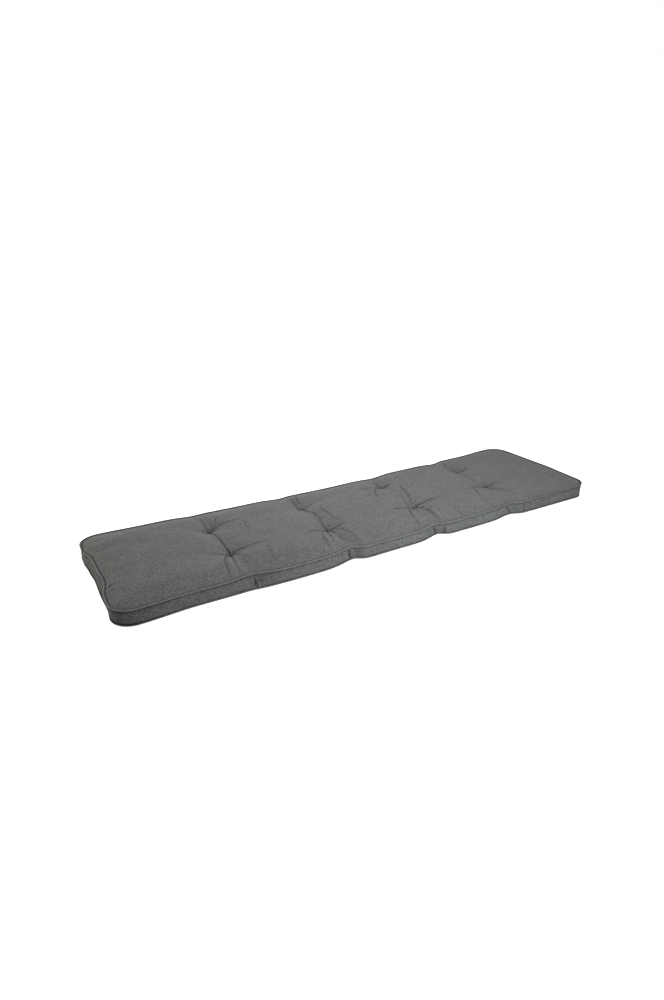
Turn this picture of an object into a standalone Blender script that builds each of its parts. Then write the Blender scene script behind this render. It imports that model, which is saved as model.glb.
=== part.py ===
"""Bench cushion: a long boxed seat pad, piped round both seams and tufted right through at eight points.

Metres, +Z up. The cushion lies on the flat areas of its underside, at z = 0, with its length along X and
its front edge, the straighter of the two long ones, towards -Y. The origin is at the middle of the outline.
"""
import math

import bmesh
import bpy
from mathutils import Matrix, Vector

# Driving sizes, between the centre lines of the piping
LENGTH = 1.500
WIDTH = 0.433
CORNER_RADIUS = 0.050
TOP_SEAM = 0.0405
UNDER_SEAM = 0.0036

PIPING_RADIUS = 0.0025
PIPING_STEPS = 1
GAP = 0.0003
SEAT = (PIPING_RADIUS + GAP) * math.sqrt(2)

# The crown rises from the seam to its full height over this reach
CROWN = 0.0125
CROWN_REACH = 0.085
CROWN_POWER = 2.3
BAND_BULGE = 0.0008
BAND_ROWS = 4
UNDER_ROLL = 0.014

# A tuft has a small level spot, where its stitch lies, and flares out from there
TUFT_TOP = 0.0380
TUFT_UNDER = 0.0095
TUFT_SPOT = 0.0065
TUFT_FLARE_TOP = 0.023
TUFT_FLARE_UNDER = 0.015
TUFT_CUT = 0.08
TUFT_PULL = 0.070

STITCH_RADIUS = 0.0010
STITCH_LENGTH = 0.0075
STITCH_SIDES = 8

# Soft valleys run across the cushion from edge to edge through each pair of tufts
VALLEY_BETWEEN = (0.0045, 0.024)
VALLEY_TO_FRONT = (0.0050, 0.022)
VALLEY_TO_BACK = (0.0030, 0.020)

# How far in from the edge its waves reach, and where the seam's own direction stops counting
EDGE_FADE = 0.120
SEAM_NEAR = 0.008
SEAM_FAR = 0.030
PROBE = 0.001

# The five pads: place along X, and how far the long edges lie in from the straight there
PADS = (
    # x, front at the top seam, front at the under seam, back
    (-0.700, -0.0005, -0.0040, 0.0025),
    (-0.570, 0.0045, 0.0030, 0.0080),
    (-0.290, -0.0068, -0.0058, 0.0225),
    (0.000, -0.0070, -0.0020, 0.0315),
    (0.285, -0.0030, -0.0020, 0.0205),
    (0.550, -0.0045, -0.0035, 0.0150),
    (0.700, -0.0010, -0.0040, 0.0030),
)

# The four tuft columns: where the two tufts are, and the notches that they pull into the long edges.
# A notch is its place along X, its depth, and the width of its flank before it and after it.
COLUMNS = (
    {"front": (-0.435, -0.088), "back": (-0.438, 0.066), "top_notch": (-0.428, 0.0130, 0.045, 0.045),
     "under_notch": (-0.435, 0.0030, 0.045, 0.030), "back_notch": (-0.450, 0.0060, 0.035, 0.035)},
    {"front": (-0.155, -0.090), "back": (-0.153, 0.075), "top_notch": (-0.150, 0.0160, 0.047, 0.021),
     "under_notch": (-0.140, 0.0160, 0.049, 0.021), "back_notch": (-0.180, 0.0080, 0.035, 0.035)},
    {"front": (0.141, -0.086), "back": (0.149, 0.094), "top_notch": (0.117, 0.0160, 0.032, 0.030),
     "under_notch": (0.142, 0.0175, 0.046, 0.021), "back_notch": (0.170, 0.0110, 0.045, 0.045)},
    {"front": (0.436, -0.070), "back": (0.450, 0.079), "top_notch": (0.411, 0.0125, 0.058, 0.019),
     "under_notch": (0.416, 0.0135, 0.056, 0.025), "back_notch": (0.429, 0.0110, 0.030, 0.030)},
)

# The two ends: place along Y, and how far the end lies in from the straight at each seam
LEFT_END = (
    # y, top, under
    (-0.1665, -0.0040, -0.0020),
    (-0.1300, -0.0030, 0.0010),
    (-0.0550, 0.0090, -0.0010),
    (0.0200, 0.0060, 0.0000),
    (0.0780, 0.0040, -0.0040),
    (0.1310, -0.0090, -0.0080),
    (0.1665, -0.0080, -0.0080),
)
RIGHT_END = (
    # y, top, under
    (-0.1665, 0.0020, 0.0015),
    (-0.1150, 0.0015, 0.0010),
    (-0.0300, -0.0055, -0.0040),
    (0.1665, -0.0060, -0.0050),
)

# The plain grid that the tufts are shifted from
COLUMN_PLACES = (-0.4326, -0.1442, 0.1442, 0.4326)
ROW_PLACES = (-0.080, 0.080)

# Grid lines of the body: insets round the rim, and offsets beside each tuft
RIM_INSETS = (0.0, SEAT, 0.010, 0.018, 0.028, 0.039, CORNER_RADIUS)
COLUMN_OFFSETS = (0.005, 0.016, 0.036)
ROW_OFFSETS = (0.004, 0.014, 0.032)
LONGEST_STEP = 0.041
TINY = 1e-6

FABRIC_GREY = (0.141, 0.144, 0.140, 1.0)
PIPING_GREY = (0.150, 0.153, 0.148, 1.0)
THREAD_GREY = (0.045, 0.046, 0.045, 1.0)
FABRIC_ROUGHNESS = 0.9
THREAD_ROUGHNESS = 0.75


def clamp(value, low=0.0, high=1.0):
    return min(max(value, low), high)


def mix(start, end, share):
    return start + (end - start) * share


def ease(share):
    """From 0 to 1, level at both ends."""
    share = clamp(share)
    return share * share * (3.0 - 2.0 * share)


def through(rows, at, column):
    """A soft curve through one column of a table, level at each of its rows."""
    low = rows[0]
    for high in rows[1:]:
        if at <= high[0]:
            return mix(low[column], high[column], ease((at - low[0]) / (high[0] - low[0])))
        low = high
    return low[column]


def dent(distance, before, after):
    """A smooth notch, 1 at its bottom, whose two flanks may differ in width."""
    flank = before if distance < 0 else after
    return math.exp(-(distance / flank) ** 2)


def front_inset(x, level):
    """How far in the front edge lies. Level is 0 at the under seam and 1 at the top seam."""
    inset = mix(through(PADS, x, 2), through(PADS, x, 1), level)
    for column in COLUMNS:
        pairs = zip(column["under_notch"], column["top_notch"])
        place, depth, before, after = [mix(under, top, level) for under, top in pairs]
        inset += depth * dent(x - place, before, after)
    return inset


def back_inset(x):
    inset = through(PADS, x, 3)
    for column in COLUMNS:
        place, depth, before, after = column["back_notch"]
        inset += depth * dent(x - place, before, after)
    return inset


def end_inset(rows, y, level):
    return mix(through(rows, y, 2), through(rows, y, 1), level)


def tufts():
    """Each tuft's place on the plain grid and its real place."""
    for place, column in zip(COLUMN_PLACES, COLUMNS):
        yield Vector((place, ROW_PLACES[0])), Vector(column["front"])
        yield Vector((place, ROW_PLACES[1])), Vector(column["back"])


def fade(distance):
    return 1.0 - ease(distance / EDGE_FADE)


def settle(point, level):
    """Move a point of the plain rounded rectangle to where the sewn and tufted cushion has it."""
    x, y = point
    held_x = clamp(x, CORNER_RADIUS - LENGTH / 2, LENGTH / 2 - CORNER_RADIUS)
    held_y = clamp(y, CORNER_RADIUS - WIDTH / 2, WIDTH / 2 - CORNER_RADIUS)
    moved = Vector(point)
    moved.y += front_inset(held_x, level) * fade(y + WIDTH / 2)
    moved.y -= back_inset(held_x) * fade(WIDTH / 2 - y)
    moved.x += end_inset(LEFT_END, held_y, level) * fade(x + LENGTH / 2)
    moved.x -= end_inset(RIGHT_END, held_y, level) * fade(LENGTH / 2 - x)
    for plain, real in tufts():
        pull = math.exp(-((Vector(point) - plain).length / TUFT_PULL) ** 2)
        moved += (real - plain) * pull
    return moved


def round_corner(x, y):
    """Where a point of the square-cornered grid lies once the corners are round.

    Returns the point, its foot on the outline, the outline's direction there and the inset from it.
    """
    over_x = abs(x) - (LENGTH / 2 - CORNER_RADIUS)
    over_y = abs(y) - (WIDTH / 2 - CORNER_RADIUS)
    side_x = math.copysign(1.0, x)
    side_y = math.copysign(1.0, y)
    if over_x > 0 and over_y > 0:
        reach = max(over_x, over_y)
        share = min(over_x, over_y) / reach
        angle = math.radians(45.0 * share if over_x >= over_y else 90.0 - 45.0 * share)
        middle = Vector((side_x * (LENGTH / 2 - CORNER_RADIUS), side_y * (WIDTH / 2 - CORNER_RADIUS)))
        out = Vector((side_x * math.cos(angle), side_y * math.sin(angle)))
        return middle + out * reach, middle + out * CORNER_RADIUS, out, CORNER_RADIUS - reach
    inset_x = LENGTH / 2 - abs(x)
    inset_y = WIDTH / 2 - abs(y)
    if inset_x < inset_y:
        return Vector((x, y)), Vector((side_x * LENGTH / 2, y)), Vector((side_x, 0.0)), inset_x
    return Vector((x, y)), Vector((x, side_y * WIDTH / 2)), Vector((0.0, side_y)), inset_y


def beside_seam(foot, out, level, inset):
    """The point that lies square in from the settled seam by the inset, or out from it if negative."""
    along = Vector((-out.y, out.x)) * PROBE
    run = settle(foot + along, level) - settle(foot - along, level)
    inward = Vector((-run.y, run.x)).normalized()
    return settle(foot, level) + inward * inset


def grid_place(x, y, level):
    """A grid point's settled place and its inset from the outline."""
    plain, foot, out, inset = round_corner(x, y)
    settled = settle(plain, level)
    near = 1.0 - ease((inset - SEAM_NEAR) / (SEAM_FAR - SEAM_NEAR))
    if near > 0:
        settled = settled.lerp(beside_seam(foot, out, level, inset), near)
    return settled, inset


def valleys():
    """The soft valleys: start, end, depth and half width."""
    for column in COLUMNS:
        front_x = column["top_notch"][0]
        back_x = column["back_notch"][0]
        front_edge = Vector((front_x, front_inset(front_x, 1.0) - WIDTH / 2))
        back_edge = Vector((back_x, WIDTH / 2 - back_inset(back_x)))
        front = Vector(column["front"])
        back = Vector(column["back"])
        yield front, back, VALLEY_BETWEEN
        yield front, front_edge, VALLEY_TO_FRONT
        yield back, back_edge, VALLEY_TO_BACK


def from_line(point, start, end):
    """Distance from a point to a straight stretch."""
    run = end - start
    share = clamp((point - start).dot(run) / run.length_squared)
    return (point - start - run * share).length


def pinch(point, flare):
    """1 on a tuft's level spot, falling off round it."""
    nearest = min((point - real).length for _, real in tufts())
    return math.exp(-max(nearest - TUFT_SPOT, 0.0) / flare)


def top_height(point, inset):
    rise = 1.0 - (1.0 - clamp((inset - SEAT) / CROWN_REACH)) ** CROWN_POWER
    height = TOP_SEAM + CROWN * rise
    sunk = max(depth * math.exp(-(from_line(point, start, end) / width) ** 2)
               for start, end, (depth, width) in valleys())
    height -= sunk * rise
    return mix(height, TUFT_TOP, pinch(point, TUFT_FLARE_TOP))


def under_height(point, inset):
    roll = 1.0 - clamp((inset - SEAT) / (UNDER_ROLL - SEAT))
    lift = max(pinch(point, TUFT_FLARE_UNDER) - TUFT_CUT, 0.0) / (1.0 - TUFT_CUT)
    return max(UNDER_SEAM * roll ** 2, TUFT_UNDER * lift)


def mirrored(values):
    return sorted({round(sign * value, 6) for value in values for sign in (-1, 1)})


def fill_gaps(lines):
    """Add even lines wherever two neighbours are further apart than the longest step."""
    filled = [lines[0]]
    for line in lines[1:]:
        steps = math.ceil((line - filled[-1]) / LONGEST_STEP - TINY)
        start = filled[-1]
        filled += [mix(start, line, (step + 1) / steps) for step in range(steps)]
    return filled


def grid_lines(size, places, offsets):
    lines = [size / 2 - inset for inset in RIM_INSETS]
    lines += [abs(place + side * offset) for place in places for offset in offsets for side in (-1, 1)]
    return fill_gaps(mirrored(lines))


def band_heights():
    """Rows down the boxing band as (share of the height, inset, height), from the under seam up."""
    half_seat = SEAT / 2
    rows = [(0.0, half_seat, UNDER_SEAM + half_seat)]
    for step in range(BAND_ROWS + 1):
        share = step / BAND_ROWS
        height = mix(UNDER_SEAM + SEAT, TOP_SEAM - SEAT, share)
        rows.append((share, -BAND_BULGE * math.sin(math.pi * share), height))
    rows.append((1.0, half_seat, TOP_SEAM - half_seat))
    return rows


def clear_scene():
    for item in list(bpy.data.objects):
        bpy.data.objects.remove(item, do_unlink=True)


def part_collection():
    collection = bpy.data.collections.new("bench_cushion")
    bpy.context.scene.collection.children.link(collection)
    return collection


def fabric(name, colour, roughness):
    material = bpy.data.materials.new(name)
    material.use_nodes = True
    shader = material.node_tree.nodes["Principled BSDF"]
    shader.inputs["Base Color"].default_value = colour
    shader.inputs["Roughness"].default_value = roughness
    shader.inputs["Metallic"].default_value = 0.0
    material.diffuse_color = colour
    return material


def place_in_middle(points):
    """The shift that brings the middle of the outline to the origin."""
    xs = [point.x for point in points]
    ys = [point.y for point in points]
    return Vector((-(min(xs) + max(xs)) / 2, -(min(ys) + max(ys)) / 2, 0.0))


def seam_points(xs, ys, level, height):
    """The settled seam, point by point, anticlockwise as seen from above."""
    low_x, high_x = xs[0], xs[-1]
    low_y, high_y = ys[0], ys[-1]
    rim = [(x, low_y) for x in xs[:-1]] + [(high_x, y) for y in ys[:-1]]
    rim += [(x, high_y) for x in reversed(xs[1:])] + [(low_x, y) for y in reversed(ys[1:])]
    points = []
    for x, y in rim:
        _, foot, _, _ = round_corner(x, y)
        settled = settle(foot, level)
        points.append(Vector((settled.x, settled.y, height)))
    return points


def add_body(collection, xs, ys, middle):
    """A box cut into a grid, whose points are then moved to the filled, sewn and tufted shape."""
    rows = band_heights()
    mesh = bmesh.new()
    bmesh.ops.create_cube(mesh, size=1.0)
    bmesh.ops.scale(mesh, verts=mesh.verts, vec=(LENGTH, WIDTH, len(rows) - 1))
    bottom = -(len(rows) - 1) / 2
    cuts = [(Vector((x, 0, 0)), Vector((1, 0, 0))) for x in xs[1:-1]]
    cuts += [(Vector((0, y, 0)), Vector((0, 1, 0))) for y in ys[1:-1]]
    cuts += [(Vector((0, 0, bottom + row)), Vector((0, 0, 1))) for row in range(1, len(rows) - 1)]
    for place, direction in cuts:
        everything = mesh.verts[:] + mesh.edges[:] + mesh.faces[:]
        bmesh.ops.bisect_plane(mesh, geom=everything, dist=TINY, plane_co=place, plane_no=direction)
    for vert in mesh.verts:
        x, y, z = vert.co
        row = round(z - bottom)
        _, foot, out, inset = round_corner(x, y)
        if inset < SEAT / 2:
            level, row_inset, height = rows[row]
            settled = beside_seam(foot, out, level, row_inset)
        elif row == 0:
            settled, _ = grid_place(x, y, 0.0)
            height = under_height(settled, inset)
        else:
            settled, _ = grid_place(x, y, 1.0)
            height = top_height(settled, inset)
        vert.co = Vector((settled.x, settled.y, height)) + middle
    data = bpy.data.meshes.new("cushion_body")
    mesh.to_mesh(data)
    mesh.free()
    data.shade_smooth()
    body = bpy.data.objects.new("cushion_body", data)
    body.data.materials.append(fabric("woven_grey_cover", FABRIC_GREY, FABRIC_ROUGHNESS))
    collection.objects.link(body)


def add_piping(collection, name, points, middle, material):
    """A closed cord that lies in the groove between a panel and the band."""
    curve = bpy.data.curves.new(name, "CURVE")
    curve.dimensions = "3D"
    curve.twist_mode = "Z_UP"
    curve.bevel_depth = PIPING_RADIUS
    curve.bevel_resolution = PIPING_STEPS
    spline = curve.splines.new("POLY")
    spline.points.add(len(points) - 1)
    for slot, point in zip(spline.points, points):
        slot.co = (*(point + middle), 1.0)
    spline.use_cyclic_u = True
    cord = bpy.data.objects.new(name, curve)
    cord.data.materials.append(material)
    collection.objects.link(cord)


def stitch_mesh():
    """A short thread bar along X, thickest at its middle: a small sphere whose halves are drawn apart."""
    mesh = bmesh.new()
    rings = STITCH_SIDES // 2
    bmesh.ops.create_uvsphere(mesh, u_segments=STITCH_SIDES, v_segments=rings, radius=STITCH_RADIUS)
    drawn = STITCH_LENGTH / 2 - STITCH_RADIUS
    for vert in mesh.verts:
        if abs(vert.co.z) > TINY:
            vert.co.z += math.copysign(drawn, vert.co.z)
    bmesh.ops.rotate(mesh, verts=mesh.verts, cent=(0, 0, 0), matrix=Matrix.Rotation(math.pi / 2, 3, "Y"))
    data = bpy.data.meshes.new("tuft_stitch")
    mesh.to_mesh(data)
    mesh.free()
    data.shade_smooth()
    data.materials.append(fabric("dark_thread", THREAD_GREY, THREAD_ROUGHNESS))
    return data


def add_stitches(collection, middle):
    """One bar on each tuft's level spot on top, and its twin underneath."""
    shared = stitch_mesh()
    clearance = STITCH_RADIUS + GAP
    for number, column in enumerate(COLUMNS, start=1):
        for row in ("front", "back"):
            for side, height in (("top", TUFT_TOP + clearance), ("under", TUFT_UNDER - clearance)):
                stitch = bpy.data.objects.new(f"tuft_stitch_{side}_{row}_{number}", shared)
                stitch.location = Vector((*column[row], height)) + middle
                collection.objects.link(stitch)


def main():
    clear_scene()
    collection = part_collection()
    xs = grid_lines(LENGTH, COLUMN_PLACES, COLUMN_OFFSETS)
    ys = grid_lines(WIDTH, ROW_PLACES, ROW_OFFSETS)
    top_seam = seam_points(xs, ys, 1.0, TOP_SEAM)
    under_seam = seam_points(xs, ys, 0.0, UNDER_SEAM)
    middle = place_in_middle(top_seam + under_seam)
    add_body(collection, xs, ys, middle)
    piping = fabric("piping_grey", PIPING_GREY, FABRIC_ROUGHNESS)
    add_piping(collection, "piping_top", top_seam, middle, piping)
    add_piping(collection, "piping_under", under_seam, middle, piping)
    add_stitches(collection, middle)


main()
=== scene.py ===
"""Bench cushion, the visible model: a filled and tufted seat pad in a ribbed grey weave.

Metres, +Z up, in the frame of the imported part. The panels with their filling, the boxing band, both
pipings and the tuft threads are separate pieces, as a maker sews them. A place on the cushion is given on
its plain pattern, a rounded rectangle, and settle() moves it to where the tufted cushion has it.
"""
import math

import bmesh
import bpy
import numpy as np
from mathutils import Matrix, Vector


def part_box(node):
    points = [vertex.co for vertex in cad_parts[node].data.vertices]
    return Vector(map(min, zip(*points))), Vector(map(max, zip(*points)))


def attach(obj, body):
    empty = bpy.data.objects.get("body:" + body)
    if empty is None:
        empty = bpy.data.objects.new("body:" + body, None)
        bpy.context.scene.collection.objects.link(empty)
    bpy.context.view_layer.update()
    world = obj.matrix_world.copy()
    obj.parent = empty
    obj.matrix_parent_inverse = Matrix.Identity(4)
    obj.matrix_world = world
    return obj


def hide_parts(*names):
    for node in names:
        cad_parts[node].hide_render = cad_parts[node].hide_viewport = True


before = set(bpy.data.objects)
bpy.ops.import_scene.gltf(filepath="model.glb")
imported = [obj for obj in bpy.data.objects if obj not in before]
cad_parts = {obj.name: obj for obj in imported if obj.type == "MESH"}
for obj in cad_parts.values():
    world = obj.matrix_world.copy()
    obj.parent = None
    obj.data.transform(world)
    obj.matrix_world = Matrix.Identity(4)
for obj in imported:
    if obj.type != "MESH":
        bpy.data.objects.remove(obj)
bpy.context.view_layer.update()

MM = 0.001

# Driving sizes of the pattern, between the centre lines of the piping
LENGTH = 1.500
WIDTH = 0.433
CORNER_RADIUS = 0.050
TOP_SEAM = 0.0405
UNDER_SEAM = 0.0036

# How far in from the seam a panel begins, at the foot of the piping
SEAM_SEAT = 0.0034

# The crown, lower than the finished one by what the filling's pressure adds, and the underside's rounded rim
CROWN = 0.0105
CROWN_REACH = 0.075
CROWN_POWER = 2.3
UNDER_ROLL = 0.014

# How the filling swells the cloth: frames, the furthest that a point moves, where the cloth is held next to
# the seam and round a tuft, and the cloth's own settings
SWELL_FRAMES = 20
SWELL_CAP = 0.0050
HELD_NEAR = 0.006
HELD_FAR = 0.060
HELD_SPOT = 0.007
HELD_SPOT_FADE = 0.008
SWELL_CLOTH = {
    "quality": 5,
    "mass": 0.3,
    "tension_stiffness": 12.0,
    "compression_stiffness": 8.0,
    "shear_stiffness": 4.0,
    "bending_stiffness": 2.0,
    "shrink_min": -0.010,
    "shrink_max": -0.010,
    "use_pressure": True,
    "uniform_pressure_force": 4.0,
    "vertex_group_mass": "held",
}

# A tuft is a small level spot with its thread, from which the cloth flares out
TUFT_TOP = 0.0375
TUFT_UNDER = 0.0095
TUFT_SPOT = 0.0035
TUFT_FLARE_TOP = 0.014
TUFT_FLARE_UNDER = 0.015
TUFT_CUT = 0.08
TUFT_SHADE = 0.0045
TUFT_PULL = 0.070

# Soft valleys: depth and half width
VALLEY_BETWEEN = (0.0045, 0.024)
VALLEY_TO_FRONT = (0.0050, 0.022)
VALLEY_TO_BACK = (0.0030, 0.020)
VALLEY_ALONG = (0.0015, 0.020)

# How far in the waves of the edge reach. Next to the seam the grid follows the seam's own direction, which
# is measured by a short probe, and further in it doesn't.
EDGE_FADE = 0.120
SEAM_NEAR = 0.008
SEAM_FAR = 0.030
PROBE = 0.001

# The five pads: place along X, and how far the long edges lie in from the straight there
PADS = (
    # x, front at the top seam, front at the under seam, back
    (-0.700, -0.0005, -0.0040, 0.0025),
    (-0.570, 0.0045, 0.0030, 0.0080),
    (-0.290, -0.0068, -0.0058, 0.0225),
    (0.000, -0.0070, -0.0020, 0.0315),
    (0.285, -0.0030, -0.0020, 0.0205),
    (0.550, -0.0045, -0.0035, 0.0150),
    (0.700, -0.0010, -0.0040, 0.0030),
)

# The four tuft columns, and the notches that they pull into the long edges.
# A notch is its place along X, its depth, and the width of its flank before it and after it.
COLUMNS = (
    {"front": (-0.435, -0.088), "back": (-0.438, 0.066), "top_notch": (-0.428, 0.0130, 0.045, 0.045),
     "under_notch": (-0.435, 0.0030, 0.045, 0.030), "back_notch": (-0.450, 0.0060, 0.035, 0.035)},
    {"front": (-0.155, -0.090), "back": (-0.153, 0.075), "top_notch": (-0.150, 0.0160, 0.047, 0.021),
     "under_notch": (-0.140, 0.0160, 0.049, 0.021), "back_notch": (-0.180, 0.0080, 0.035, 0.035)},
    {"front": (0.141, -0.086), "back": (0.149, 0.094), "top_notch": (0.117, 0.0160, 0.032, 0.030),
     "under_notch": (0.142, 0.0175, 0.046, 0.021), "back_notch": (0.170, 0.0110, 0.045, 0.045)},
    {"front": (0.436, -0.070), "back": (0.450, 0.079), "top_notch": (0.411, 0.0125, 0.058, 0.019),
     "under_notch": (0.416, 0.0135, 0.056, 0.025), "back_notch": (0.429, 0.0110, 0.030, 0.030)},
)

LEFT_END = (
    # y, how far the end lies in at the top seam and at the under seam
    (-0.1665, -0.0040, -0.0020),
    (-0.1300, -0.0030, 0.0010),
    (-0.0550, 0.0090, -0.0010),
    (0.0200, 0.0060, 0.0000),
    (0.0780, 0.0040, -0.0040),
    (0.1310, -0.0090, -0.0080),
    (0.1665, -0.0080, -0.0080),
)
RIGHT_END = (
    # y, top, under
    (-0.1665, 0.0060, 0.0135),
    (-0.1150, 0.0015, 0.0010),
    (-0.0300, -0.0055, -0.0040),
    (0.1665, -0.0060, -0.0050),
)

# Places of the tufts on the plain pattern
COLUMN_PLACES = (-0.4326, -0.1442, 0.1442, 0.4326)
ROW_PLACES = (-0.080, 0.080)

# Grid of the panels: steps near a tuft and far from it, and the lines next to the seam. Then what the mesh
# is refined by: distance from a tuft, and depth of a fold, for the first and the second round.
GRID_SAMPLES = 4001
FINE_STEP = 0.0080
COARSE_STEP = 0.0125
FINE_REACH = 0.060
COARSE_REACH = 0.110
RIM_LINES = (SEAM_SEAT, 0.0062, 0.0105)
FIRST_INNER_LINE = 0.0170
TUFT_REFINE = 0.026
TUFT_REFINE_TWICE = 0.011
FOLD_REFINE = 0.0004
FOLD_REFINE_TWICE = 0.0018
EASE_ROUNDS = 8

# The angle, in radians, from which a corner of a face counts as the middle of a straight side
STRAIGHT = 3.0

# The side of the filled body behind the band, as rows of share of the height, inset and height
CORE_ROWS = (
    (1.0, 0.0024, TOP_SEAM - 0.0014),
    (1.0, 0.0034, TOP_SEAM - 0.0045),
    (0.5, 0.0030, (TOP_SEAM + UNDER_SEAM) / 2),
    (0.0, 0.0034, UNDER_SEAM + 0.0045),
    (0.0, 0.0024, UNDER_SEAM + 0.0014),
)

# Folds in the top panel, in millimetres: depth, half width at the start and at the end, then the points
# that the fold runs through, from its deep end to where it fades out
FOLDS = (
    # From the front tuft of column 1
    (2.3, 2.8, 3.4, ((-435, -88), (-418, -83), (-396, -86), (-373, -87), (-348, -86), (-318, -88))),
    (2.9, 2.4, 3.0, ((-435, -88), (-436, -62), (-435, -36), (-433, -6), (-436, 24), (-438, 66))),
    (1.8, 2.8, 3.4, ((-435, -88), (-452, -83), (-470, -82), (-483, -81), (-499, -76))),
    (2.5, 2.4, 3.2, ((-447, -94), (-460, -116), (-471, -150), (-477, -184), (-482, -212))),
    (2.8, 2.4, 3.2, ((-436, -94), (-442, -129), (-448, -154), (-450, -202))),
    (1.5, 2.4, 3.0, ((-424, -94), (-410, -136), (-405, -160), (-405, -196))),
    # From the back tuft of column 1
    (2.2, 2.8, 3.4, ((-438, 66), (-421, 74), (-396, 79), (-373, 78), (-346, 78), (-314, 74))),
    (2.2, 2.4, 2.8, ((-438, 66), (-435, 38), (-433, 12), (-434, -20))),
    (1.9, 2.4, 3.0, ((-438, 66), (-442, 84), (-440, 104), (-438, 138), (-438, 156))),
    (1.4, 2.8, 3.4, ((-438, 66), (-458, 69), (-484, 75))),
    (1.9, 2.4, 3.0, ((-430, 70), (-412, 90), (-405, 110), (-400, 148))),
    # From the back tuft of column 2
    (2.8, 2.4, 3.0, ((-153, 75), (-159, 90), (-155, 110), (-150, 144), (-147, 168))),
    (3.6, 2.4, 3.0, ((-127, 168), (-132, 150), (-138, 132), (-142, 112), (-148, 94))),
    (3.6, 2.4, 3.0, ((-153, 75), (-150, 60), (-146, 38), (-142, 11), (-143, -12), (-145, -36))),
    (1.8, 2.8, 3.4, ((-153, 75), (-145, 71), (-133, 72), (-118, 76), (-94, 79))),
    (2.9, 2.8, 3.6, ((-111, 34), (-112, 14), (-110, -10), (-111, -38), (-116, -64))),
    # From the front tuft of column 2
    (3.5, 2.6, 3.2, ((-155, -90), (-147, -92), (-130, -92), (-116, -93), (-98, -95))),
    (3.0, 2.8, 3.4, ((-155, -90), (-178, -91), (-197, -89), (-216, -96), (-234, -100))),
    (2.4, 2.4, 3.0, ((-156, -88), (-155, -68), (-152, -46), (-144, -28), (-142, -12))),
    (2.4, 2.4, 3.2, ((-184, -106), (-195, -138), (-202, -172), (-209, -206))),
    (2.8, 2.4, 3.2, ((-160, -98), (-172, -136), (-184, -178))),
    (2.5, 2.4, 3.2, ((-152, -94), (-148, -122), (-152, -154), (-154, -184))),
    (2.7, 3.0, 3.8, ((-136, -98), (-125, -118), (-121, -150), (-120, -182), (-124, -216))),
    # From the back tuft of column 3
    (4.8, 2.8, 3.4, ((149, 93), (160, 93), (182, 95))),
    (2.3, 2.4, 3.0, ((149, 94), (141, 106), (142, 131), (142, 158))),
    (2.0, 2.4, 3.0, ((149, 94), (141, 110), (150, 128), (160, 150))),
    (2.0, 2.8, 3.4, ((149, 94), (122, 94), (84, 87), (66, 89), (42, 92))),
    (2.8, 2.6, 3.4, ((145, 88), (122, 80), (102, 62), (84, 32), (78, 4), (73, -22))),
    (2.2, 2.4, 3.0, ((150, 88), (160, 62), (161, 46), (158, 12))),
    # From the front tuft of column 3
    (3.5, 2.8, 3.4, ((141, -86), (159, -83), (181, -85), (200, -85), (222, -86), (250, -83))),
    (5.0, 2.8, 3.6, ((141, -86), (151, -99), (155, -118), (153, -140), (149, -168), (145, -214))),
    (3.7, 2.8, 3.2, ((192, 52), (183, 30), (176, 4), (168, -22), (157, -48), (139, -76))),
    (2.3, 2.4, 3.0, ((122, -88), (128, -72), (143, -34), (152, 4))),
    (3.8, 2.8, 3.4, ((118, -88), (103, -91), (79, -89), (62, -88))),
    (3.2, 2.6, 3.2, ((118, -94), (106, -112), (94, -134), (86, -156), (74, -206))),
    (2.2, 2.4, 3.0, ((134, -94), (124, -134), (120, -172))),
    (2.2, 2.4, 3.0, ((150, -92), (174, -128), (184, -162), (196, -196))),
    # From the back tuft of column 4
    (4.2, 2.8, 3.4, ((450, 79), (461, 74), (474, 74), (490, 77))),
    (4.2, 2.4, 3.0, ((450, 79), (438, 63), (433, 38))),
    (2.8, 2.4, 3.0, ((450, 79), (438, 92), (438, 118), (447, 146), (454, 176))),
    (2.6, 2.4, 3.0, ((458, 164), (446, 140), (441, 124), (442, 106))),
    (4.2, 2.4, 3.0, ((450, 79), (439, 57), (435, 37), (432, 8), (428, -42))),
    (1.2, 2.8, 3.4, ((450, 79), (426, 84), (400, 92))),
    # From the front tuft of column 4
    (4.0, 2.8, 3.4, ((436, -70), (444, -70), (456, -73), (468, -74), (484, -77))),
    (2.6, 2.4, 3.0, ((436, -70), (436, -98), (442, -126), (448, -156))),
    (2.8, 2.8, 3.4, ((436, -70), (420, -66), (400, -70), (380, -74), (362, -76), (342, -76))),
    (2.6, 2.4, 3.0, ((376, -84), (361, -116), (350, -150), (344, -184), (337, -216))),
    (2.8, 3.2, 4.6, ((436, -72), (444, -106), (449, -136), (454, -160), (464, -186))),
    # Soft folds by themselves
    (2.3, 2.8, 3.4, ((-338, 68), (-342, 40), (-346, 16), (-351, -24))),
    (1.9, 2.8, 3.4, ((-344, -108), (-351, -138), (-353, -162), (-358, -196))),
    (1.2, 3.0, 3.6, ((288, -28), (280, -70), (264, -150))),
    (1.8, 3.0, 3.6, ((238, -156), (228, -184), (222, -212))),
    # Short folds that run in from the seam of the left end
    (3.0, 2.6, 3.0, ((-750, -104), (-738, -97), (-716, -88))),
    (2.2, 2.6, 3.0, ((-752, -121), (-740, -120), (-720, -115))),
    (1.4, 2.5, 3.5, ((-742, 32), (-730, 28), (-714, 29))),
    (1.5, 2.5, 3.5, ((-744, -4), (-732, -5), (-714, -2))),
    (1.2, 2.5, 3.5, ((-746, -54), (-734, -50), (-718, -50))),
)

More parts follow.
